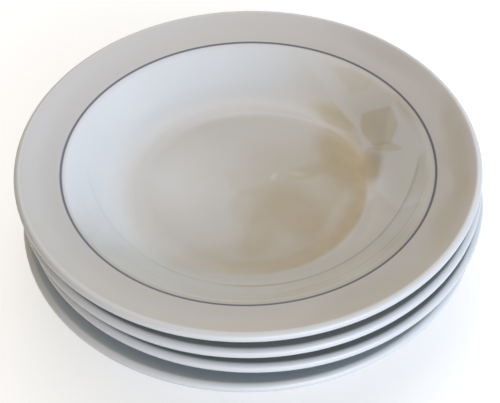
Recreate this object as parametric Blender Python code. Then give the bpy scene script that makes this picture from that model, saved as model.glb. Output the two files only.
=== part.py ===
"""Stack of four nested soup plates in glazed porcelain.

Each plate is one turned solid: a flat well floor, a curved well wall, a shoulder, a sloping rim with a
rounded lip, and a foot ring underneath. The plates stand in each other, foot ring on well floor, a
little off centre as a hand leaves them. The origin is under the middle of the stack's outline, on the
surface that the stack stands on. +Z is up and the front of the stack faces -Y.
"""

import math

import bmesh
import bpy

# Driving dimensions of one plate, in metres
PLATE_RADIUS = 0.1175
WALL_THICKNESS = 0.0051
FLOOR_TOP = 0.0109
WELL_DEPTH = 0.0189
WELL_FLOOR_RADIUS = 0.059
WELL_FILLET = 0.029
SHOULDER_RADIUS = 0.092
SHOULDER_FILLET = 0.009
RIM_SLOPE = math.radians(16.4)
FOOT_OUTER_RADIUS = 0.0555
FOOT_WIDTH = 0.0040
FOOT_DRAFT = 0.0010
FOOT_FILLET = 0.0030
FOOT_EDGE = 0.0008

# The stack, from the top plate down: name and place of the plate's axis, measured from the top plate's
NEST_GAP = 0.0003
PLATES = (
    ("plate_top", 0.0, 0.0),
    ("plate_second", 0.0012, -0.0004),
    ("plate_third", 0.0033, -0.0004),
    ("plate_bottom", -0.0001, -0.0033),
)

# Mesh density
TURN_STEPS = 60
WELL_STEPS = 4
SHOULDER_STEPS = 2
UNDERSIDE_STEPS = 3
EDGE_STEPS = 1
LIP_ANGLES = (90.0, 60.0, 30.0, 0.0, -30.0, -60.0)
MERGE_DISTANCE = 0.000002
SHARP_ANGLE = math.radians(35.0)

# Finish
GLAZE_COLOR = (0.66, 0.64, 0.60, 1.0)
GLAZE_ROUGHNESS = 0.12


def clear_scene():
    """Remove whatever objects the scene starts with."""
    for scene_object in list(bpy.data.objects):
        bpy.data.objects.remove(scene_object)


def corner_arc(before, corner, after, radius, steps):
    """Return the points of an arc of the given radius that rounds a corner between two straight runs."""
    to_before = (before[0] - corner[0], before[1] - corner[1])
    to_after = (after[0] - corner[0], after[1] - corner[1])
    heading_in = math.atan2(-to_before[1], -to_before[0])
    heading_out = math.atan2(to_after[1], to_after[0])
    turn = (heading_out - heading_in + math.pi) % (2.0 * math.pi) - math.pi
    side = math.copysign(1.0, turn)
    tangent = radius * math.tan(abs(turn) / 2.0)
    start = (corner[0] - tangent * math.cos(heading_in), corner[1] - tangent * math.sin(heading_in))
    centre = (
        start[0] - side * radius * math.sin(heading_in),
        start[1] + side * radius * math.cos(heading_in),
    )
    points = []
    for step in range(steps + 1):
        heading = heading_in + turn * step / steps
        points.append((
            centre[0] + side * radius * math.sin(heading),
            centre[1] - side * radius * math.cos(heading),
        ))
    return points


def wall_angle():
    """Return the slope of the well wall: the line from the shoulder that just touches the floor's fillet."""
    across = SHOULDER_RADIUS - WELL_FLOOR_RADIUS
    up = WELL_DEPTH - WELL_FILLET
    return math.atan2(up, across) + math.asin(WELL_FILLET / math.hypot(across, up))


def plate_profile():
    """Return the plate's half section as (radius, height) points, from the well's centre to the foot's."""
    slope = wall_angle()
    floor_corner = (WELL_FLOOR_RADIUS + WELL_FILLET * math.tan(slope / 2.0), FLOOR_TOP)
    shoulder = (SHOULDER_RADIUS, FLOOR_TOP + WELL_DEPTH)
    lip_radius = WALL_THICKNESS / 2.0
    rim_run = PLATE_RADIUS - lip_radius - lip_radius * math.sin(RIM_SLOPE) - SHOULDER_RADIUS
    lip_top = (SHOULDER_RADIUS + rim_run, shoulder[1] + rim_run * math.tan(RIM_SLOPE))
    lip_centre = (PLATE_RADIUS - lip_radius, lip_top[1] - lip_radius * math.cos(RIM_SLOPE))
    lip_bottom = (
        lip_centre[0] + lip_radius * math.sin(RIM_SLOPE),
        lip_centre[1] - lip_radius * math.cos(RIM_SLOPE),
    )

    base = FLOOR_TOP - WALL_THICKNESS
    under_floor = (floor_corner[0] + WALL_THICKNESS * math.tan(slope / 2.0), base)
    miter = WALL_THICKNESS / math.cos((slope - RIM_SLOPE) / 2.0)
    bisector = (slope + RIM_SLOPE) / 2.0
    under_shoulder = (shoulder[0] + miter * math.sin(bisector), shoulder[1] - miter * math.cos(bisector))

    foot_top = (FOOT_OUTER_RADIUS + FOOT_DRAFT, base)
    foot_outer = (FOOT_OUTER_RADIUS, 0.0)
    foot_inner = (FOOT_OUTER_RADIUS - FOOT_WIDTH, 0.0)
    recess = (FOOT_OUTER_RADIUS - FOOT_WIDTH - FOOT_DRAFT, base)

    profile = [(0.0, FLOOR_TOP)]
    profile += corner_arc(profile[0], floor_corner, shoulder, WELL_FILLET, WELL_STEPS)
    profile += corner_arc(floor_corner, shoulder, lip_top, SHOULDER_FILLET, SHOULDER_STEPS)
    profile.append(lip_top)
    for angle in map(math.radians, LIP_ANGLES):
        outward = lip_radius * math.cos(angle)
        upward = lip_radius * math.sin(angle)
        profile.append((lip_centre[0] + outward, lip_centre[1] + upward))
    profile.append(lip_bottom)
    under_shoulder_fillet = SHOULDER_FILLET - WALL_THICKNESS
    under_well_fillet = WELL_FILLET + WALL_THICKNESS
    profile += corner_arc(lip_bottom, under_shoulder, under_floor, under_shoulder_fillet, EDGE_STEPS)
    profile += corner_arc(under_shoulder, under_floor, foot_top, under_well_fillet, UNDERSIDE_STEPS)
    profile += corner_arc(under_floor, foot_top, foot_outer, FOOT_FILLET, EDGE_STEPS)
    profile += corner_arc(foot_top, foot_outer, foot_inner, FOOT_EDGE, EDGE_STEPS)
    profile += corner_arc(foot_outer, foot_inner, recess, FOOT_EDGE, EDGE_STEPS)
    profile += [recess, (0.0, base)]
    return profile


def glaze(name):
    """Return a glossy porcelain material."""
    material = bpy.data.materials.new(name)
    material.use_nodes = True
    shader = material.node_tree.nodes["Principled BSDF"]
    shader.inputs["Base Color"].default_value = GLAZE_COLOR
    shader.inputs["Roughness"].default_value = GLAZE_ROUGHNESS
    shader.inputs["Metallic"].default_value = 0.0
    return material


def turned_mesh(name, profile):
    """Turn a half section about the Z axis into one closed mesh."""
    turned = bmesh.new()
    verts = [turned.verts.new((radius, 0.0, height)) for radius, height in profile]
    edges = [turned.edges.new(pair) for pair in zip(verts, verts[1:])]
    bmesh.ops.spin(
        turned,
        geom=verts + edges,
        cent=(0.0, 0.0, 0.0),
        axis=(0.0, 0.0, 1.0),
        angle=2.0 * math.pi,
        steps=TURN_STEPS,
        use_merge=True,
    )
    bmesh.ops.remove_doubles(turned, verts=turned.verts, dist=MERGE_DISTANCE)
    bmesh.ops.recalc_face_normals(turned, faces=turned.faces)
    mesh = bpy.data.meshes.new(name)
    turned.to_mesh(mesh)
    turned.free()
    mesh.shade_smooth()
    mesh.set_sharp_from_angle(angle=SHARP_ANGLE)
    return mesh


def stack_plates(profile):
    """Place one plate object for each entry of PLATES, the bottom one standing on z = 0."""
    across = [x for _, x, _ in PLATES]
    along = [y for _, _, y in PLATES]
    middle_x = (min(across) + max(across)) / 2.0
    middle_y = (min(along) + max(along)) / 2.0
    for level, (name, x, y) in enumerate(reversed(PLATES)):
        mesh = turned_mesh(name, profile)
        mesh.materials.append(glaze(name + "_glaze"))
        plate = bpy.data.objects.new(name, mesh)
        plate.location = (x - middle_x, y - middle_y, level * (FLOOR_TOP + NEST_GAP))
        bpy.context.scene.collection.objects.link(plate)


def main():
    clear_scene()
    stack_plates(plate_profile())


main()
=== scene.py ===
"""Finish, floor, light and camera for a stack of four porcelain soup plates with painted shade."""

import math

import bmesh
import bpy
from mathutils import Matrix, Vector


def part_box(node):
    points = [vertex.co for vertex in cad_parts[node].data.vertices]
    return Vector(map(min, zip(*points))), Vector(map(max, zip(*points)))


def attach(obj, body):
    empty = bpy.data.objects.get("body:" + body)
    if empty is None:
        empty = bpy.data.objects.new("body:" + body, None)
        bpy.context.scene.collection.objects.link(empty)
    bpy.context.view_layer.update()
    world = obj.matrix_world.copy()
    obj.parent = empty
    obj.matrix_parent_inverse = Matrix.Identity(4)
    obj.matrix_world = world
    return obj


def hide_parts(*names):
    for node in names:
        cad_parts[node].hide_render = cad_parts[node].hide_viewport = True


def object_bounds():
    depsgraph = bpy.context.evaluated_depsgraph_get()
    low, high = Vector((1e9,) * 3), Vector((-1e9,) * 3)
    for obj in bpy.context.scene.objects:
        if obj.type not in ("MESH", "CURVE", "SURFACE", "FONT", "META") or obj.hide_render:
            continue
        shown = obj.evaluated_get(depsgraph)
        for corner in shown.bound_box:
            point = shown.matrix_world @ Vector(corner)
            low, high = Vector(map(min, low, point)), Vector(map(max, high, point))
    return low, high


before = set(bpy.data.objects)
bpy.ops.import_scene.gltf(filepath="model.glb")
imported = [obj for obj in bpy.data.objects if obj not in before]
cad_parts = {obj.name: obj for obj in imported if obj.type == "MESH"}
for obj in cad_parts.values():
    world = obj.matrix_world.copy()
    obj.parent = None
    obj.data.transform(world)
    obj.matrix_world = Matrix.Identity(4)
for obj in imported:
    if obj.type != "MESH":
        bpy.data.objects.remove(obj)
cad_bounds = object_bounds()

bl_info = {
    "name": "Used Soup Plates",
    "version": (1, 0, 0),
    "blender": (4, 5, 0),
    "location": "3D View > Sidebar > Plates",
    "description": "Turns, glazes and lights a stack of used porcelain soup plates",
    "category": "Object",
}

MM = 0.001

# The stack, from the top plate down, and the setting that paints light and shade on each plate's rim
PLATES = ("plate_top", "plate_second", "plate_third", "plate_bottom")
RIM_LIGHTINGS = ("rim_color", "middle_rim_shade_color", "middle_rim_shade_color", "bottom_rim_cool_light_color")
TOP_PLATE = PLATES[0]
ROOT = "root"

# The photograph's frame, in pixels, the sensor width that Blender's lens is given for, and the nearest
# distance that the camera sees
FRAME_WIDTH = 500
SENSOR_WIDTH = 36.0
CLIP_START = 10.0 * MM

# Soft glows of the studio round the stack: name, azimuth and elevation in degrees, sharpness, strength and
# colour
GLOWS = (
    ("front", 0.0, 8.0, 14.0, 2.75, (1.0, 0.90, 0.85)),
    ("window_front", 30.0, 8.0, 14.0, 6.7, (0.755, 0.845, 1.0)),
    ("window_right", 60.0, 8.0, 14.0, 1.5, (0.62, 0.84, 1.0)),
    ("window_back", 140.0, 35.0, 14.0, 1.9, (0.78, 0.87, 1.0)),
    ("behind_low_right", 150.0, 8.0, 14.0, 0.9, (0.54, 0.71, 1.0)),
    ("behind_low", 185.0, 8.0, 14.0, 0.75, (1.0, 0.80, 0.35)),
    ("behind", 180.0, 35.0, 14.0, 0.62, (1.0, 0.92, 0.85)),
    ("ceiling_back", 180.0, 62.0, 20.0, 1.6, (1.0, 0.83, 0.74)),
    ("ceiling_left", 270.0, 62.0, 20.0, 1.0, (1.0, 0.76, 0.31)),
    ("window_high", 95.0, 38.0, 25.0, 0.8, (0.85, 0.93, 1.0)),
    ("behind_left", 228.0, 14.0, 14.0, 0.6, (0.97, 1.0, 0.86)),
)

# Steps of the turned section: round the lip, along a straight run, and the angle that a step of an arc spans.
# MERGE_DISTANCE closes the seam of the turned sheet.
LIP_STEPS = 36
RUN_STEPS = 12
FEWEST_ARC_STEPS = 3
ARC_STEP = math.radians(2.0)
FILLET_STEP = math.radians(9.0)
EDGE_STEP = math.radians(15.0)
MERGE_DISTANCE = 0.001 * MM

# The painted line: its place in millimetres from the plate's axis, a little off centre, the width of its soft
# edge in millimetres, and how much it covers
LINE_PLACE = (0.2, -0.7)
LINE_SOFT = 0.15
LINE_COVER = 0.92

# The glaze. Lengths are in millimetres, and noises are scale and detail. The line and the rim's painted shade
# show above a fade that is measured from the shoulder's height. The rim's colour is painted shade: a greyer
# band for the flatter rim's lower light, which ends at the lip's crown, a share of the thickness in from the
# edge, and is darker still inside a fade in radius. The foot is bare below its fade.
UPPER_FADE = (-2.0, -1.0)
CROWN_SHARE = 0.6
CROWN_SOFT = 0.7
RIM_SHADE_FADE = (97.0, 111.0)
RIM_INSIDE_SHADE = 0.94
FOOT_FADE = (0.3, 0.6)
POOL_NOISE = (45.0, 3.0)
POOL_CONTRAST = 0.12
POOL_TONES = (0.97, 1.03)
RIPPLE_NOISE = (60.0, 2.0)
RIPPLE_STRENGTH = 0.1
RIPPLE_HEIGHT = 0.02
GLAZE_ROUGHNESS = 0.02
BARE_ROUGHNESS = 0.5
GLAZE_IOR = 1.5
FLOOR_ROUGHNESS = 0.9

# Painted shade and painted reflections in the top plate's well, coloured like a dried film. Places are in
# millimetres from the plate's axis, across and to the back. A reach or an edge is the start and end of a
# fade.
# The thick film of painted shade is clear round one place on the left and ends at the floor's edge. The thin
# film of painted shade is clear round another place and ends up the wall.
THICK_CLEAR_PLACE = (-38.0, 16.0)
THICK_CLEAR_REACH = (65.0, 116.0)
THICK_EDGE = (60.0, 63.0)
THIN_PLACE = (-42.0, 3.0)
THIN_REACH = (-10.0, 56.0)
THIN_EDGE = (50.0, 68.0)
THICK_COVER = 0.94
THICK_GRAIN = 0.35

# How the film's edges waver: a coarse noise moves them by up to WARP millimetres, and a fine one frays them,
# by millimetres for reaches and patches and by a share of the size for blots and streaks
WARP = 7.0
WARP_NOISE = (38.0, 2.0)
FRAY_NOISE = (150.0, 4.0)
REACH_FRAY = 6.0
PATCH_FRAY = 2.0
BLOT_FRAY = 0.3
THIN_FRAY = 0.2
HIGHLIGHT_FRAY = 0.4

# Blots of the thick film, painted shade and painted reflections: name, place, half length, half width, turn
# in degrees, strength, softness of the edge
BLOTS = (
    ("wedge", (51.0, 47.0), 16.0, 6.5, -48.0, 0.55, 0.5),
    ("right", (50.0, 19.0), 21.0, 12.0, -75.0, 0.76, 0.5),
    ("right_soft", (29.0, 11.0), 27.0, 19.0, 0.0, 0.32, 0.75),
    ("corner", (63.5, 12.0), 11.0, 6.5, 72.0, 0.52, 0.4),
    ("glint_side", (31.0, 9.0), 11.0, 5.0, 10.0, 0.4, 0.5),
    ("hollow", (3.0, -33.0), 15.0, 11.0, 75.0, 0.42, 0.5),
    ("hollow_front", (12.0, -40.0), 11.0, 8.0, 10.0, 0.14, 0.8),
    ("front", (-13.0, -50.0), 24.0, 9.0, 8.0, 0.25, 0.6),
    ("middle", (24.5, -20.0), 20.0, 15.0, -60.0, 0.63, 0.5),
    ("lobe", (4.0, -14.0), 15.0, 11.0, 50.0, 0.2, 0.3),
    ("right_back", (56.0, 58.0), 34.0, 15.0, -45.0, 0.17, 0.6),
    ("rim_right", (106.0, 4.0), 34.0, 6.0, 88.0, 0.26, 0.6),
    ("rim_right_front", (96.0, -44.0), 26.0, 6.0, 65.0, 0.27, 0.8),
)

# Crisp patches of the thick film, painted reflections of the room: name, corners of a convex outline,
# strength, softness. PATCH_ROUNDING rounds the corners, and FAR_INSIDE is a distance from the outline that no
# point inside reaches.
PATCH_ROUNDING = 1.2
FAR_INSIDE = -100.0
PATCHES = (
    ("leaf", ((62.5, 46.0), (61.5, 34.0), (67.5, 24.0), (76.0, 21.0), (80.5, 29.0), (77.5, 42.0)), 0.42, 0.8),
    ("tail", ((65.0, 23.0), (80.5, 13.5), (79.0, 17.5), (73.0, 25.0)), 0.38, 0.7),
    ("sliver", ((51.0, 38.5), (61.5, 26.0), (60.5, 33.0)), 0.35, 0.6),
    ("line_side", ((77.0, 50.0), (84.0, 33.0), (92.0, 20.0), (84.5, 43.0)), 0.3, 1.2),
    ("lens", ((47.5, 75.0), (58.0, 58.0), (66.0, 56.5), (69.5, 60.0), (58.0, 71.0)), 0.17, 0.8),
    ("crescent", (
        (-12.5, 10.0), (-10.0, -1.0), (-2.0, -9.5), (8.0, -6.0), (14.0, 6.0), (0.0, 12.0)
    ), 0.07, 1.0),
)

# Blots of the thin film of painted shade, as for the thick one, and the painted shade up the front wall: its
# fades in by radius, out by radius, and in towards the front
THIN_BLOTS = (
    ("rim_front_right", (50.0, -96.0), 30.0, 9.0, 28.0, 0.35, 0.6),
    ("rim_right_back", (76.0, 80.0), 32.0, 8.0, -46.0, 0.4, 0.6),
    ("floor_edge", (58.0, -26.0), 13.0, 3.5, 66.0, 0.5, 0.7),
    ("corner_grey", (64.5, 12.0), 10.5, 6.0, 72.0, 0.6, 0.45),
)
FRONT_WALL_SHADE = ((57.0, 66.0), (93.0, 96.0), (-25.0, -62.0))

# Painted highlights and reflections that clear the film: streaks, as for the blots, and areas, as for the
# patches
HIGHLIGHT_STREAKS = (
    ("fork", (62.5, 33.0), 10.0, 0.9, -66.0, 0.4, 0.4),
    ("inner_band", (45.0, -23.0), 20.0, 4.0, 62.0, 0.2, 0.6),
    ("glint_left", (13.5, 5.5), 2.6, 1.4, 60.0, 0.35, 0.6),
    ("glint_right", (25.5, 7.0), 4.5, 1.8, -12.0, 0.25, 0.7),
    ("fold", (-3.0, -30.0), 10.0, 3.5, 75.0, 0.12, 0.6),
)
REFLECTION_PATCHES = (
    ("diagonal", ((34.0, 82.0), (60.5, 38.0), (62.0, 42.0), (41.0, 79.0)), 0.6, 0.7),
    ("beside", ((36.0, 82.0), (61.0, 38.0), (63.0, 46.0), (57.0, 60.0), (44.0, 80.0)), 0.4, 2.0),
)

# Painted reflections of a window, where the wall's glaze shows whiter, as for the patches
WHITER_REFLECTIONS = (
    ("wall_right", (
        (66.0, -6.0), (75.0, -28.0), (86.0, -32.0), (92.0, -4.0), (91.0, 12.0), (79.0, 43.0), (76.0, 38.0)
    ), 1.0, 2.0),
    ("wall_front_right", (
        (34.0, -76.0), (50.0, -77.0), (84.0, -38.0), (84.0, -20.0), (62.0, -44.0)
    ), 1.0, 6.0),
)

# Lines along part of an oval: its place and half axes, half width of the line, width of its soft edge, and
# the start and end of its fade in depth. They fade in from the left over LINE_LEFT, where LINE_FAINT of them
# is left.
LINE_LEFT = (-80.0, 10.0)
LINE_FAINT = 0.2

# A line of painted shade in the film along the front and right of the floor's edge
EDGE_SHADE = ((0.0, 0.0), (56.5, 56.5), 1.5, 4.5, (14.0, -6.0))
EDGE_SHADE_ACROSS = (-35.0, 5.0)
EDGE_SHADE_COVER = 0.42

# Painted highlights, pale lines without film: up the back wall, and round the left of the floor
PALE_BACK = ((0.0, 0.0), (70.0, 56.3), 0.9, 1.8, (24.0, 44.0))
PALE_BACK_COVER = 0.45
PALE_FLOOR = ((0.0, 0.0), (58.0, 58.0), 1.0, 6.0, (-50.0, -20.0))
PALE_FLOOR_ACROSS = (-20.0, 30.0)

# Grey painted reflections of the line up the front wall, and the grey lens of painted reflection between them
# at the right: its fades over the inner and the outer oval, and its fades by place. A noise breaks them up.
REFLECTED_LINE_INNER = ((2.5, 25.0), (88.0, 95.0), 0.2, 1.0, (6.0, -6.0))
REFLECTED_LINE_OUTER = ((2.0, 6.0), (89.5, 88.5), 0.1, 0.8, (-4.0, -30.0))
REFLECTED_LINE_OUTER_COVER = 0.6
LENS_INNER = (1.0, 1.01)
LENS_OUTER = (0.985, 1.0)
LENS_BACK = (0.0, 6.0)
LENS_FRONT = (-70.0, -10.0)
LENS_ACROSS = (20.0, 50.0)
LENS_COVER = 0.5
REFLECTED_LINE_NOISE = (25.0, 3.0)
REFLECTED_LINE_BREAKS = (0.25, 0.6)
REFLECTED_LINE_LEAST = 0.4


def box_centre(low, high):
    """Return the middle of a box."""
    return (Vector(low) + Vector(high)) / 2.0


def plate_place(node):
    """Return the point where a plate's axis meets the level of its own foot."""
    low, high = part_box(node)
    centre = box_centre(low, high)
    return Vector((centre.x, centre.y, low[2]))


def box_size(node):
    """Return the lengths of a node's box."""
    low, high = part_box(node)
    return Vector(high) - Vector(low)


class PlateSettings(bpy.types.PropertyGroup):
    """Sizes and colours of one plate."""

    radius: bpy.props.FloatProperty(
        name="Radius", description="Outer radius of the plate", default=box_size(TOP_PLATE).x / 2.0,
        unit="LENGTH")
    thickness: bpy.props.FloatProperty(
        name="Thickness", description="Thickness of the wall, rim and lip", default=5.1 * MM, unit="LENGTH")
    floor_top: bpy.props.FloatProperty(
        name="Floor top", description="Height of the well's floor above the foot", default=10.9 * MM,
        unit="LENGTH")
    well_depth: bpy.props.FloatProperty(
        name="Well depth", description="Height of the shoulder above the floor", default=18.9 * MM,
        unit="LENGTH")
    floor_radius: bpy.props.FloatProperty(
        name="Floor radius", description="Radius of the flat part of the floor", default=59.0 * MM,
        unit="LENGTH")
    well_fillet: bpy.props.FloatProperty(
        name="Well fillet", description="Radius of the curve from floor to wall", default=29.0 * MM,
        unit="LENGTH")
    shoulder_radius: bpy.props.FloatProperty(
        name="Shoulder radius", description="Radius where wall and rim would meet", default=92.0 * MM,
        unit="LENGTH")
    shoulder_fillet: bpy.props.FloatProperty(
        name="Shoulder fillet", description="Radius of the curve from wall to rim", default=9.0 * MM,
        unit="LENGTH")
    rim_slope: bpy.props.FloatProperty(
        name="Rim slope", description="Slope of the rim", default=math.radians(16.4), subtype="ANGLE")
    rim_hollow: bpy.props.FloatProperty(
        name="Rim hollow", description="How far the rim dips between shoulder and lip", default=0.4 * MM,
        unit="LENGTH")
    foot_radius: bpy.props.FloatProperty(
        name="Foot radius", description="Outer radius of the foot ring", default=55.5 * MM, unit="LENGTH")
    foot_width: bpy.props.FloatProperty(
        name="Foot width", description="Width of the foot ring", default=4.0 * MM, unit="LENGTH")
    foot_draft: bpy.props.FloatProperty(
        name="Foot draft", description="How far the foot ring widens upwards", default=1.0 * MM,
        unit="LENGTH")
    foot_fillet: bpy.props.FloatProperty(
        name="Foot fillet", description="Radius of the curve above the foot", default=3.0 * MM, unit="LENGTH")
    foot_edge: bpy.props.FloatProperty(
        name="Foot edge", description="Radius of the foot's edges", default=0.8 * MM, unit="LENGTH")
    turn_steps: bpy.props.IntProperty(
        name="Turn steps", description="Faces round the plate", default=256, min=12)
    line_radius: bpy.props.FloatProperty(
        name="Line radius", description="Radius of the painted line", default=94.8 * MM, unit="LENGTH")
    line_width: bpy.props.FloatProperty(
        name="Line width", description="Width of the painted line", default=1.2 * MM, unit="LENGTH")
    glaze_color: bpy.props.FloatVectorProperty(
        name="Glaze", description="Colour of the glaze", default=(0.80, 0.81, 0.81), subtype="COLOR", size=3)
    # Painted shade: the rim band is greyer and warmer than the well for the flatter rim's lower light
    rim_color: bpy.props.FloatVectorProperty(
        name="Rim", description="Colour of the band between line and lip", default=(0.67, 0.655, 0.635),
        subtype="COLOR", size=3)
    # Painted shade: the two middle plates' rims are darker where they lie in the gaps under the plate above
    middle_rim_shade_color: bpy.props.FloatVectorProperty(
        name="Middle rims", description="Colour of the same band on the two middle plates",
        default=(0.39, 0.43, 0.42), subtype="COLOR", size=3)
    # Painted light: the bottom plate's rim is bluer and lighter for the cool light that reaches it
    bottom_rim_cool_light_color: bpy.props.FloatVectorProperty(
        name="Bottom rim", description="Colour of the same band on the bottom plate",
        default=(0.71, 0.77, 0.82), subtype="COLOR", size=3)
    # Painted shade and painted reflections: what the thick film lets through
    film_shade_color: bpy.props.FloatVectorProperty(
        name="Film", description="What the thick film lets through", default=(0.77, 0.622, 0.345),
        subtype="COLOR", size=3)
    # Painted shade: the darker front wall of the well, which faces away from the light
    wall_shade_color: bpy.props.FloatVectorProperty(
        name="Wall film", description="What the film on the front wall lets through",
        default=(0.80, 0.80, 0.765), subtype="COLOR", size=3)
    # Painted reflection: how much whiter the glaze is where a window shows in the wall
    whiter_reflection_color: bpy.props.FloatVectorProperty(
        name="Rinsed", description="How much whiter the rinsed glaze is", default=(1.08, 1.11, 1.16),
        subtype="NONE", size=3)
    # Painted shade: what the thin film lets through
    faint_shade_color: bpy.props.FloatVectorProperty(
        name="Faint film", description="What the thin film lets through", default=(0.80, 0.775, 0.73),
        subtype="COLOR", size=3)
    # Painted reflection: what the grey reflections of the painted line let through
    line_reflection_color: bpy.props.FloatVectorProperty(
        name="Tide lines", description="What the dried tide lines let through", default=(0.78, 0.77, 0.73),
        subtype="COLOR", size=3)
    line_color: bpy.props.FloatVectorProperty(
        name="Line", description="Colour of the painted line", default=(0.10, 0.115, 0.175),
        subtype="COLOR", size=3)
    foot_color: bpy.props.FloatVectorProperty(
        name="Bare foot", description="Colour of the unglazed foot", default=(0.62, 0.57, 0.50),
        subtype="COLOR", size=3)


class StudioSettings(bpy.types.PropertyGroup):
    """Camera, floor and light."""

    distance: bpy.props.FloatProperty(
        name="Distance", description="From the camera to the point it looks at", default=528.75 * MM,
        unit="LENGTH")
    elevation: bpy.props.FloatProperty(
        name="Elevation", description="Angle of the view above the horizon", default=math.radians(46.34),
        subtype="ANGLE")
    roll: bpy.props.FloatProperty(
        name="Roll", description="Turn of the camera about its view", default=math.radians(-1.25),
        subtype="ANGLE")
    focal: bpy.props.FloatProperty(
        name="Focal length", description="Focal length in pixels of the frame", default=1090.7)
    aim: bpy.props.FloatVectorProperty(
        name="Aim", description="Point that the camera looks at, from the top plate's lip centre",
        default=(0.69 * MM, -34.14 * MM, 0.0), subtype="TRANSLATION", size=3)
    floor_size: bpy.props.FloatProperty(
        name="Floor size", description="Side of the floor", default=6.0, unit="LENGTH")
    floor_color: bpy.props.FloatVectorProperty(
        name="Floor", description="Colour of the floor", default=(0.86, 0.86, 0.86), subtype="COLOR", size=3)
    floor_glow: bpy.props.FloatProperty(
        name="Floor glow", description="Light that the floor gives off by itself", default=0.5)
    backdrop_color: bpy.props.FloatVectorProperty(
        name="Backdrop", description="Colour seen behind the floor", default=(1.0, 1.0, 1.0),
        subtype="COLOR", size=3)


class Value:
    """A number in a node tree; Python's operators on it add Math nodes."""

    def __init__(self, kit, socket):
        self.kit = kit
        self.socket = socket

    def math(self, operation, *others, clamp=False):
        node = self.kit.add("ShaderNodeMath", {"operation": operation, "use_clamp": clamp},
                            dict(enumerate((self, *others))))
        return Value(self.kit, node.outputs[0])

    def __add__(self, other):
        return self.math("ADD", other)

    __radd__ = __add__

    def __sub__(self, other):
        return self.math("SUBTRACT", other)

    def __rsub__(self, other):
        return (self * -1.0) + other

    def __mul__(self, other):
        return self.math("MULTIPLY", other)

    __rmul__ = __mul__

    def __abs__(self):
        return self.math("ABSOLUTE")

    def clamp(self):
        return self.math("ADD", 0.0, clamp=True)

    def step_up(self, start, end):
        """Rise smoothly from 0 at start to 1 at end."""
        node = self.kit.add("ShaderNodeMapRange", {"interpolation_type": "SMOOTHSTEP"},
                            {"Value": self, "From Min": start, "From Max": end})
        return Value(self.kit, node.outputs["Result"])

    def step_down(self, start, end):
        """Fall smoothly from 1 at start to 0 at end."""
        node = self.kit.add("ShaderNodeMapRange", {"interpolation_type": "SMOOTHSTEP"},
                            {"Value": self, "From Min": start, "From Max": end, "To Min": 1.0, "To Max": 0.0})
        return Value(self.kit, node.outputs["Result"])


class NodeKit:
    """Adds nodes to a tree and links them."""

    def __init__(self, tree):
        self.tree = tree

    def add(self, kind, settings=None, sockets=None):
        node = self.tree.nodes.new(kind)
        for key, value in (settings or {}).items():
            setattr(node, key, value)
        for key, value in (sockets or {}).items():
            self.feed(node.inputs[key], value)
        return node

    def feed(self, socket, value):
        source = value.socket if isinstance(value, Value) else value
        if isinstance(source, bpy.types.NodeSocket):
            self.tree.links.new(source, socket)
        elif isinstance(source, (tuple, list, Vector)) and len(source) == 3 and socket.type == "RGBA":
            socket.default_value = (*source, 1.0)
        else:
            socket.default_value = source

    def value(self, node, output=0):
        return Value(self, node.outputs[output])

    def mix(self, factor, first, second, blend="MIX"):
        """Mix two colours, on the Mix node's colour sockets 6 and 7, and return the colour's socket."""
        node = self.add("ShaderNodeMix", {"data_type": "RGBA", "blend_type": blend})
        self.feed(node.inputs[0], factor)
        self.feed(node.inputs[6], first)
        self.feed(node.inputs[7], second)
        return node.outputs[2]

    def noise(self, point, scale, detail):
        node = self.add("ShaderNodeTexNoise", {}, {"Vector": point, "Scale": scale, "Detail": detail})
        return self.value(node, "Fac")


class Finish(NodeKit):
    """A material put together node by node round its Principled shader."""

    def __init__(self, name):
        self.material = bpy.data.materials.new(name)
        self.material.use_nodes = True
        super().__init__(self.material.node_tree)
        self.shader = self.tree.nodes["Principled BSDF"]

    def plate_space(self, place):
        """Return the point on the plate, measured from the foot of the plate's axis."""
        where = self.add("ShaderNodeTexCoord")
        moved = self.add("ShaderNodeMapping", {"vector_type": "POINT"},
                         {"Vector": where.outputs["Object"], "Location": tuple(-place)})
        return moved.outputs["Vector"]

    def oval(self, point, place, half_length, half_width, turn):
        """Return the distance from a place as a share of an oval round it, which is 1 on the oval."""
        inside = self.add("ShaderNodeMapping", {"vector_type": "TEXTURE"}, {
            "Vector": point, "Location": (place[0] * MM, place[1] * MM, 0.0), "Rotation": (0.0, 0.0, turn),
            "Scale": (half_length * MM, half_width * MM, 1.0)})
        reach = self.add("ShaderNodeVectorMath", {"operation": "LENGTH"}, {0: inside.outputs[0]})
        return self.value(reach, 1)

    def millimetres(self, point):
        """Return how far a point is across the plate and to its back, in millimetres."""
        parts = self.add("ShaderNodeSeparateXYZ", {}, {0: point})
        return self.value(parts, 0) * (1.0 / MM), self.value(parts, 1) * (1.0 / MM)

    def set_shader(self, **sockets):
        for name, value in sockets.items():
            self.feed(self.shader.inputs[name.replace("_", " ")], value)


def corner_arc(before, corner, after, radius, step=ARC_STEP):
    """Return the points of an arc that rounds a corner between two straight runs."""
    heading_in = math.atan2(corner[1] - before[1], corner[0] - before[0])
    heading_out = math.atan2(after[1] - corner[1], after[0] - corner[0])
    turn = (heading_out - heading_in + math.pi) % (2.0 * math.pi) - math.pi
    side = math.copysign(1.0, turn)
    tangent = radius * math.tan(abs(turn) / 2.0)
    start = (corner[0] - tangent * math.cos(heading_in), corner[1] - tangent * math.sin(heading_in))
    bend = side * radius
    centre = (start[0] - bend * math.sin(heading_in), start[1] + bend * math.cos(heading_in))
    steps = max(FEWEST_ARC_STEPS, round(abs(turn) / step))
    headings = [heading_in + turn * count / steps for count in range(steps + 1)]
    return [(centre[0] + bend * math.sin(heading), centre[1] - bend * math.cos(heading))
            for heading in headings]


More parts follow.
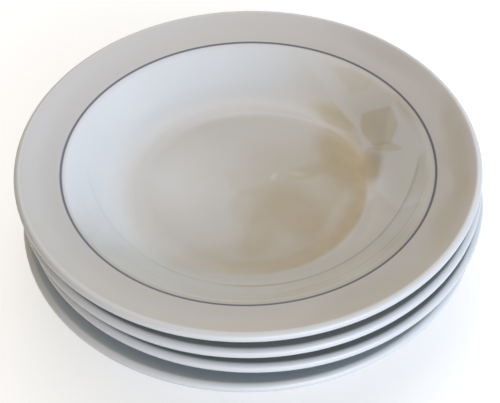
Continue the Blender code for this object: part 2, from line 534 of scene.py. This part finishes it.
def straight_run(start, end):
    """Return the points inside a straight run, without its two ends."""
    across = end[0] - start[0]
    up = end[1] - start[1]
    shares = [count / RUN_STEPS for count in range(1, RUN_STEPS)]
    return [(start[0] + across * share, start[1] + up * share) for share in shares]


def hollowed(points, inside, outside, depth):
    """Sink the points between two radii into a smooth hollow."""
    sunk = []
    for radius, height in points:
        share = min(max((radius - inside) / (outside - inside), 0.0), 1.0)
        sunk.append((radius, height - depth * math.sin(math.pi * share) ** 2))
    return sunk


def plate_profile(plate):
    """Return the plate's half section as (radius, height) points, from the well's centre to the foot's."""
    across = plate.shoulder_radius - plate.floor_radius
    up = plate.well_depth - plate.well_fillet
    slope = math.atan2(up, across) + math.asin(plate.well_fillet / math.hypot(across, up))
    rim = plate.rim_slope
    floor_corner = (plate.floor_radius + plate.well_fillet * math.tan(slope / 2.0), plate.floor_top)
    shoulder = (plate.shoulder_radius, plate.floor_top + plate.well_depth)
    lip_radius = plate.thickness / 2.0
    rim_run = plate.radius - lip_radius - lip_radius * math.sin(rim) - shoulder[0]
    lip_top = (shoulder[0] + rim_run, shoulder[1] + rim_run * math.tan(rim))
    lip_centre = (plate.radius - lip_radius, lip_top[1] - lip_radius * math.cos(rim))
    lip_bottom = (lip_centre[0] + lip_radius * math.sin(rim), lip_centre[1] - lip_radius * math.cos(rim))

    base = plate.floor_top - plate.thickness
    under_floor = (floor_corner[0] + plate.thickness * math.tan(slope / 2.0), base)
    miter = plate.thickness / math.cos((slope - rim) / 2.0)
    bisector = (slope + rim) / 2.0
    under_shoulder = (shoulder[0] + miter * math.sin(bisector), shoulder[1] - miter * math.cos(bisector))

    foot_inside = plate.foot_radius - plate.foot_width
    foot_top = (plate.foot_radius + plate.foot_draft, base)
    foot_outer = (plate.foot_radius, 0.0)
    foot_inner = (foot_inside, 0.0)
    recess = (foot_inside - plate.foot_draft, base)
    centre_below = (0.0, base)

    lip_start = math.pi / 2.0 + rim
    lip = []
    for count in range(LIP_STEPS + 1):
        angle = lip_start - math.pi * count / LIP_STEPS
        outward = lip_radius * math.cos(angle)
        upward = lip_radius * math.sin(angle)
        lip.append((lip_centre[0] + outward, lip_centre[1] + upward))

    profile = [(0.0, plate.floor_top)]
    profile += corner_arc(profile[0], floor_corner, shoulder, plate.well_fillet)
    shoulder_arc = corner_arc(floor_corner, shoulder, lip_top, plate.shoulder_fillet)
    under_arc = corner_arc(lip_bottom, under_shoulder, under_floor, plate.shoulder_fillet - plate.thickness)
    rim_part = straight_run(shoulder_arc[-1], lip_top) + lip + straight_run(lip_bottom, under_arc[0])
    profile += shoulder_arc
    profile += hollowed(rim_part, shoulder_arc[-1][0], lip_top[0], plate.rim_hollow)
    profile += under_arc
    profile += corner_arc(under_shoulder, under_floor, foot_top, plate.well_fillet + plate.thickness)
    profile += corner_arc(under_floor, foot_top, foot_outer, plate.foot_fillet, FILLET_STEP)
    profile += corner_arc(foot_top, foot_outer, foot_inner, plate.foot_edge, EDGE_STEP)
    profile += corner_arc(foot_outer, foot_inner, recess, plate.foot_edge, EDGE_STEP)
    profile += corner_arc(foot_inner, recess, centre_below, plate.foot_fillet, FILLET_STEP)
    profile.append(centre_below)
    return profile


def turning_tree():
    """Return a node tree that turns the object's own profile, given as a row of points, about Z."""
    tree = bpy.data.node_groups.new("turned_plate", "GeometryNodeTree")
    tree.interface.new_socket("Geometry", in_out="OUTPUT", socket_type="NodeSocketGeometry")
    tree.interface.new_socket("Profile", in_out="INPUT", socket_type="NodeSocketGeometry")
    for name, kind in (("Profile Points", "NodeSocketInt"), ("Turn Steps", "NodeSocketInt"),
                       ("Place", "NodeSocketVector"), ("Material", "NodeSocketMaterial")):
        tree.interface.new_socket(name, in_out="INPUT", socket_type=kind)

    kit = NodeKit(tree)
    given = kit.add("NodeGroupInput").outputs
    rows = Value(kit, given["Profile Points"])
    turns = Value(kit, given["Turn Steps"]) + 1.0
    grid = kit.add("GeometryNodeMeshGrid", {}, {
        "Size X": 1.0, "Size Y": 1.0, "Vertices X": rows, "Vertices Y": turns})
    sheet = kit.add("ShaderNodeSeparateXYZ", {}, {0: kit.add("GeometryNodeInputPosition").outputs[0]})
    row = ((kit.value(sheet, 0) + 0.5) * (rows - 1.0)).math("ROUND")
    angle = (kit.value(sheet, 1) + 0.5) * (2.0 * math.pi)
    sample = kit.add("GeometryNodeSampleIndex", {"data_type": "FLOAT_VECTOR", "domain": "POINT"}, {
        "Geometry": given["Profile"], "Index": row})
    kit.feed(sample.inputs["Value"], kit.add("GeometryNodeInputPosition").outputs[0])
    section = kit.add("ShaderNodeSeparateXYZ", {}, {0: sample.outputs[0]})
    radius = kit.value(section, 0)
    turned = kit.add("ShaderNodeCombineXYZ", {}, {
        0: radius * angle.math("COSINE"), 1: radius * angle.math("SINE"), 2: section.outputs[2]})
    placed = kit.add("ShaderNodeVectorMath", {"operation": "ADD"}, {0: turned.outputs[0], 1: given["Place"]})
    shaped = kit.add("GeometryNodeSetPosition", {}, {
        "Geometry": grid.outputs["Mesh"], "Position": placed.outputs[0]})
    closed = kit.add("GeometryNodeMergeByDistance", {}, {
        "Geometry": shaped.outputs[0], "Distance": MERGE_DISTANCE})
    smooth = kit.add("GeometryNodeSetShadeSmooth", {}, {"Geometry": closed.outputs[0], "Shade Smooth": True})
    real = kit.add("GeometryNodeRealizeInstances", {}, {"Geometry": smooth.outputs[0]})
    finished = kit.add("GeometryNodeSetMaterial", {}, {
        "Geometry": real.outputs[0], "Material": given["Material"]})
    kit.add("NodeGroupOutput", {}, {"Geometry": finished.outputs[0]})
    return tree


def turned_plate(name, tree, profile, steps, place, material):
    """Run the turning tree on a profile and return the plate as a plain mesh object."""
    source = bpy.data.meshes.new(name + "_profile")
    source.from_pydata([(radius, 0.0, height) for radius, height in profile], [], [])
    plate = bpy.data.objects.new(name, source)
    modifier = plate.modifiers.new("turned", "NODES")
    modifier.node_group = tree
    values = {
        "Profile Points": len(profile), "Turn Steps": steps, "Place": tuple(place), "Material": material}
    for item in tree.interface.items_tree:
        if item.in_out == "INPUT" and item.name in values:
            modifier[item.identifier] = values[item.name]
    bpy.context.scene.collection.objects.link(plate)
    bpy.context.view_layer.update()
    evaluated = plate.evaluated_get(bpy.context.evaluated_depsgraph_get())
    mesh = bpy.data.meshes.new_from_object(evaluated)
    plate.modifiers.remove(modifier)
    plate.data = mesh
    check = bmesh.new()
    check.from_mesh(mesh)
    if any(not edge.is_manifold for edge in check.edges):
        raise RuntimeError(name + " isn't closed")
    if check.calc_volume(signed=True) < 0.0:
        bmesh.ops.reverse_faces(check, faces=check.faces)
        check.to_mesh(mesh)
    check.free()
    return plate


def laid_over(finish, flat, ovals, fray):
    """Return one value for each oval of a list: how strongly it covers the point, with a frayed edge."""
    for _, place, half_length, half_width, turn, strength, softness in ovals:
        share = finish.oval(flat, place, half_length, half_width, math.radians(turn)) + fray
        yield share.step_down(1.0 - softness, 1.0 + softness) * strength


def patched_over(finish, flat, patches, fray):
    """Return one value for each patch of a list: how strongly it covers the point, with a frayed edge."""
    across, depth = finish.millimetres(flat)
    for _, corners, strength, soft in patches:
        reach = FAR_INSIDE
        for start, end in zip(corners, corners[1:] + corners[:1]):
            length = math.dist(start, end)
            out = ((end[1] - start[1]) / length, (start[0] - end[0]) / length)
            side = across * out[0] + depth * out[1] - (start[0] * out[0] + start[1] * out[1])
            reach = side.math("SMOOTH_MAX", reach, PATCH_ROUNDING)
        yield (reach + fray).step_down(-soft, soft) * strength


def oval_line(finish, flat, place, axes, half_width, soft, fade):
    """Return the mask of a thin line along an oval, on one side of the plate."""
    share = finish.oval(flat, place, *axes, 0.0)
    size = sum(axes) / 2.0
    line = abs(share - 1.0).step_down(half_width / size, (half_width + soft) / size)
    across, depth = finish.millimetres(flat)
    return line * depth.step_up(*fade) * (across.step_up(*LINE_LEFT) * (1.0 - LINE_FAINT) + LINE_FAINT)


def reflected_lens(finish, flat):
    """Return the mask of the grey painted reflection between the two reflected lines at the right."""
    inner_place, inner_axes = REFLECTED_LINE_INNER[:2]
    outer_place, outer_axes = REFLECTED_LINE_OUTER[:2]
    past_inner = finish.oval(flat, inner_place, *inner_axes, 0.0).step_up(*LENS_INNER)
    inside_outer = finish.oval(flat, outer_place, *outer_axes, 0.0).step_down(*LENS_OUTER)
    across, depth = finish.millimetres(flat)
    along = depth.step_down(*LENS_BACK) * depth.step_up(*LENS_FRONT)
    return past_inner * inside_outer * along * across.step_up(*LENS_ACROSS)


def reflected_lines(finish, point, flat):
    """Return the mask of the grey painted reflections of the line and the lens between them, broken up by a
    noise.
    """
    marks = oval_line(finish, flat, *REFLECTED_LINE_INNER)
    marks = marks + oval_line(finish, flat, *REFLECTED_LINE_OUTER) * REFLECTED_LINE_OUTER_COVER
    marks = marks + reflected_lens(finish, flat) * LENS_COVER
    broken = finish.noise(point, *REFLECTED_LINE_NOISE).step_up(*REFLECTED_LINE_BREAKS)
    return (marks * (broken * (1.0 - REFLECTED_LINE_LEAST) + REFLECTED_LINE_LEAST)).clamp()


def warped(finish, flat):
    """Return the point moved a little by a coarse noise, so that the film's shapes turn out ragged."""
    scale, detail = WARP_NOISE
    bent = finish.add("ShaderNodeTexNoise", {}, {"Vector": flat, "Scale": scale, "Detail": detail})
    pushed = finish.add("ShaderNodeVectorMath", {"operation": "MULTIPLY_ADD"}, {
        0: bent.outputs["Color"], 1: (2.0 * WARP * MM, 2.0 * WARP * MM, 0.0), 2: flat})
    centred = finish.add("ShaderNodeVectorMath", {"operation": "SUBTRACT"}, {
        0: pushed.outputs[0], 1: (WARP * MM, WARP * MM, 0.0)})
    return centred.outputs[0]


def shade_film(finish, flat, radius):
    """Return the masks of the thick and of the thin film of painted shade and reflections in the top plate's
    well.
    """
    ragged = warped(finish, flat)
    fray = finish.noise(flat, *FRAY_NOISE) - 0.5
    across, _ = finish.millimetres(flat)

    # The thick film's reach: painted shade, clear round one place on the left
    thick_clear = finish.oval(ragged, THICK_CLEAR_PLACE, 1.0, 1.0, 0.0) + fray * REACH_FRAY
    thick = thick_clear.step_up(*THICK_CLEAR_REACH) * radius.step_down(*THICK_EDGE)
    # A line of painted shade along the front and right of the floor's edge
    edge_shade = oval_line(finish, flat, *EDGE_SHADE) * across.step_up(*EDGE_SHADE_ACROSS) * EDGE_SHADE_COVER
    blots = laid_over(finish, ragged, BLOTS, fray * BLOT_FRAY)
    patches = patched_over(finish, flat, PATCHES, fray * PATCH_FRAY)
    for cover in (edge_shade, *blots, *patches):
        thick = 1.0 - (1.0 - thick) * (1.0 - cover)
    thick = thick * (THICK_COVER + fray * THICK_GRAIN)

    # The thin film's reach: painted shade, clear round another place
    thin_clear = finish.oval(ragged, THIN_PLACE, 1.0, 1.0, 0.0) + fray * REACH_FRAY
    thin = thin_clear.step_up(*THIN_REACH) * radius.step_down(*THIN_EDGE)
    for cover in laid_over(finish, ragged, THIN_BLOTS, fray * THIN_FRAY):
        thin = 1.0 - (1.0 - thin) * (1.0 - cover)

    # Painted highlights and reflections take the film away along pale lines, streaks and areas
    left = 1.0 - oval_line(finish, flat, *PALE_BACK) * PALE_BACK_COVER
    highlight_streaks = laid_over(finish, flat, HIGHLIGHT_STREAKS, fray * HIGHLIGHT_FRAY)
    reflection_patches = patched_over(finish, flat, REFLECTION_PATCHES, fray * PATCH_FRAY)
    for cover in (*highlight_streaks, *reflection_patches):
        left = left * (1.0 - cover)
    pale_floor = oval_line(finish, flat, *PALE_FLOOR) * across.step_down(*PALE_FLOOR_ACROSS)
    return (thick * left).clamp(), (thin * left * (1.0 - pale_floor)).clamp()


def front_wall_shade(finish, flat, radius):
    """Return the mask of the painted shade on the front of the well's wall."""
    _, depth = finish.millimetres(flat)
    low, high, near = FRONT_WALL_SHADE
    return radius.step_up(*low) * radius.step_down(*high) * depth.step_up(*near)


def painted_film(finish, color, point, flat, radius, plate):
    """Return the glaze's colour under its painted shade, painted reflections and painted highlights."""
    # Painted shade on the front wall
    color = finish.mix(front_wall_shade(finish, flat, radius), color, tuple(plate.wall_shade_color), "MULTIPLY")
    # Painted reflections that make the wall's glaze whiter
    for reflection in patched_over(finish, flat, WHITER_REFLECTIONS, 0.0):
        color = finish.mix(reflection, color, tuple(plate.whiter_reflection_color), "MULTIPLY")
    thick, thin = shade_film(finish, flat, radius)
    # Painted shade: the thin film darkens the glaze
    color = finish.mix(thin, color, tuple(plate.faint_shade_color), "MULTIPLY")
    # Painted shade and painted reflections: the thick film darkens the glaze
    color = finish.mix(thick, color, tuple(plate.film_shade_color), "MULTIPLY")
    # Grey painted reflections of the line
    return finish.mix(reflected_lines(finish, point, flat), color, tuple(plate.line_reflection_color), "MULTIPLY")


def glaze(name, place, plate, rim_color, used):
    """Return a glossy glaze with a painted line and rim shade, a bare foot, and painted well shade if used.
    """
    finish = Finish(name)
    point = finish.plate_space(place)
    height = finish.value(finish.add("ShaderNodeSeparateXYZ", {}, {0: point}), 2) * (1.0 / MM)
    level = finish.add("ShaderNodeVectorMath", {"operation": "MULTIPLY"}, {0: point, 1: (1.0, 1.0, 0.0)})
    flat = level.outputs[0]
    radius = finish.oval(flat, (0.0, 0.0), 1.0, 1.0, 0.0)
    line_reach = finish.oval(flat, LINE_PLACE, 1.0, 1.0, 0.0)

    shoulder_height = (plate.floor_top + plate.well_depth) / MM
    line_radius = plate.line_radius / MM
    line_half = plate.line_width / 2.0 / MM
    crown = (plate.radius - CROWN_SHARE * plate.thickness) / MM
    upper = height.step_up(*(shoulder_height + fade for fade in UPPER_FADE))
    line = abs(line_reach - line_radius).step_down(line_half - LINE_SOFT, line_half + LINE_SOFT) * upper
    band = radius.step_up(plate.shoulder_radius / MM, line_radius)
    band = band * radius.step_down(crown - CROWN_SOFT, crown + CROWN_SOFT) * upper
    bare = height.step_down(*FOOT_FADE)

    pool = finish.noise(point, *POOL_NOISE)
    tones = [tuple(tone * part for part in plate.glaze_color) for tone in POOL_TONES]
    color = finish.mix((pool - 0.5) * POOL_CONTRAST + 0.5, *tones)
    # The rim band is painted shade, darker still towards the shoulder
    inside_shade_color = tuple(RIM_INSIDE_SHADE * part for part in rim_color)
    color = finish.mix(band, color, finish.mix(radius.step_up(*RIM_SHADE_FADE), inside_shade_color, tuple(rim_color)))
    # On the top plate, painted shade, reflections and highlights in the well
    if used:
        color = painted_film(finish, color, point, flat, radius, plate)
    color = finish.mix(line * LINE_COVER, color, tuple(plate.line_color))
    color = finish.mix(bare, color, tuple(plate.foot_color))
    ripple = finish.noise(point, *RIPPLE_NOISE)
    relief = finish.add("ShaderNodeBump", {}, {
        "Strength": RIPPLE_STRENGTH, "Distance": RIPPLE_HEIGHT * MM, "Height": ripple})
    finish.set_shader(Base_Color=color, Roughness=GLAZE_ROUGHNESS + bare * BARE_ROUGHNESS,
                      Normal=relief.outputs[0], IOR=GLAZE_IOR)
    return finish.material


def floor_paper(color, glow):
    """Plain pale matt paper for the floor, which gives off a little light of its own."""
    finish = Finish("floor_paper")
    finish.set_shader(Base_Color=tuple(color), Roughness=FLOOR_ROUGHNESS, Emission_Color=(1.0, 1.0, 1.0),
                      Emission_Strength=glow)
    return finish.material


class PLATES_OT_turn(bpy.types.Operator):
    """Turn and glaze the four plates"""

    bl_idname = "plates.turn"
    bl_label = "Turn the plates"

    def execute(self, context):
        plate = context.scene.plate_settings
        profile = plate_profile(plate)
        tree = turning_tree()
        for node, rim_lighting in zip(PLATES, RIM_LIGHTINGS):
            place = plate_place(node)
            # The top plate's glaze carries the painted shade and reflections of its well
            used = node == TOP_PLATE
            slot = "used_glaze" if used else "glaze"
            material = glaze(node + "_" + slot, place, plate, getattr(plate, rim_lighting), used)
            piece = turned_plate(node + "_turned", tree, profile, plate.turn_steps, place, material)
            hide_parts(node)
            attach(piece, ROOT)
        return {"FINISHED"}


def lip_centre_height(plate):
    """Return the height of the lip's middle above the plate's foot."""
    rim_run = plate.radius - plate.thickness / 2.0 * (1.0 + math.sin(plate.rim_slope)) - plate.shoulder_radius
    top = plate.floor_top + plate.well_depth + rim_run * math.tan(plate.rim_slope)
    return top - plate.thickness / 2.0 * math.cos(plate.rim_slope)


def set_camera(studio, plate):
    """Stand the camera where the photograph was taken from."""
    camera = bpy.data.objects.new("camera", bpy.data.cameras.new("camera"))
    camera.data.sensor_width = SENSOR_WIDTH
    camera.data.lens = studio.focal * SENSOR_WIDTH / FRAME_WIDTH
    camera.data.clip_start = CLIP_START
    back = Vector((0.0, -math.cos(studio.elevation), math.sin(studio.elevation)))
    level = Vector((1.0, 0.0, 0.0))
    rise = Vector((0.0, math.sin(studio.elevation), math.cos(studio.elevation)))
    right = level * math.cos(studio.roll) + rise * math.sin(studio.roll)
    up = rise * math.cos(studio.roll) - level * math.sin(studio.roll)
    middle = plate_place(TOP_PLATE) + Vector((0.0, 0.0, lip_centre_height(plate)))
    camera.matrix_world = Matrix.Translation(middle + Vector(studio.aim) + back * studio.distance) @ Matrix(
        (right, up, back)).transposed().to_4x4()
    bpy.context.scene.collection.objects.link(camera)
    bpy.context.scene.camera = camera


def direction(azimuth, elevation):
    """Return the unit vector of a direction; azimuth 0 is in front of the stack, and 90 to its right."""
    turn = math.radians(azimuth)
    rise = math.radians(elevation)
    return Vector((math.sin(turn) * math.cos(rise), -math.cos(turn) * math.cos(rise), math.sin(rise)))


def light_room(studio):
    """Fill the room with the soft glows of GLOWS, in front of which the camera sees a plain backdrop."""
    world = bpy.data.worlds.new("room")
    world.use_nodes = True
    kit = NodeKit(world.node_tree)
    where = kit.add("ShaderNodeTexCoord")
    light = (0.0, 0.0, 0.0)
    for _, azimuth, elevation, sharpness, strength, color in GLOWS:
        facing = kit.add("ShaderNodeVectorMath", {"operation": "DOT_PRODUCT"},
                         {0: where.outputs["Generated"], 1: tuple(direction(azimuth, elevation))})
        glow = ((kit.value(facing, 1) - 1.0) * sharpness).math("EXPONENT")
        tinted = kit.add("ShaderNodeVectorMath", {"operation": "SCALE"},
                         {0: tuple(strength * part for part in color), "Scale": glow})
        total = kit.add("ShaderNodeVectorMath", {"operation": "ADD"}, {0: light, 1: tinted.outputs[0]})
        light = total.outputs[0]
    seen = kit.add("ShaderNodeLightPath").outputs["Is Camera Ray"]
    background = world.node_tree.nodes["Background"]
    kit.feed(background.inputs["Color"], kit.mix(seen, light, tuple(studio.backdrop_color)))
    bpy.context.scene.world = world


class PLATES_OT_stage(bpy.types.Operator):
    """Lay the floor, hang the lights and stand the camera"""

    bl_idname = "plates.stage"
    bl_label = "Set the stage"

    def execute(self, context):
        studio = context.scene.studio_settings
        half = studio.floor_size / 2.0
        mesh = bpy.data.meshes.new("floor")
        low = cad_bounds[0][2]
        corners = [(-half, -half, low), (half, -half, low), (half, half, low), (-half, half, low)]
        mesh.from_pydata(corners, [], [(0, 1, 2, 3)])
        mesh.materials.append(floor_paper(studio.floor_color, studio.floor_glow))
        floor = bpy.data.objects.new("floor", mesh)
        context.scene.collection.objects.link(floor)
        floor.visible_diffuse = False
        light_room(studio)
        set_camera(studio, context.scene.plate_settings)
        context.scene.view_settings.view_transform = "Standard"
        return {"FINISHED"}


class PLATES_PT_panel(bpy.types.Panel):
    """Lists the steps that make the plates"""

    bl_label = "Used Soup Plates"
    bl_space_type = "VIEW_3D"
    bl_region_type = "UI"
    bl_category = "Plates"

    def draw(self, context):
        for step in STEPS:
            self.layout.operator(step.bl_idname)


STEPS = (PLATES_OT_turn, PLATES_OT_stage)
CLASSES = (PlateSettings, StudioSettings, *STEPS, PLATES_PT_panel)


def register():
    for item in CLASSES:
        bpy.utils.register_class(item)
    bpy.types.Scene.plate_settings = bpy.props.PointerProperty(type=PlateSettings)
    bpy.types.Scene.studio_settings = bpy.props.PointerProperty(type=StudioSettings)


def unregister():
    del bpy.types.Scene.studio_settings
    del bpy.types.Scene.plate_settings
    for item in reversed(CLASSES):
        bpy.utils.unregister_class(item)


def main():
    register()
    bpy.ops.plates.turn()
    bpy.ops.plates.stage()


if __name__ == "__main__":
    main()
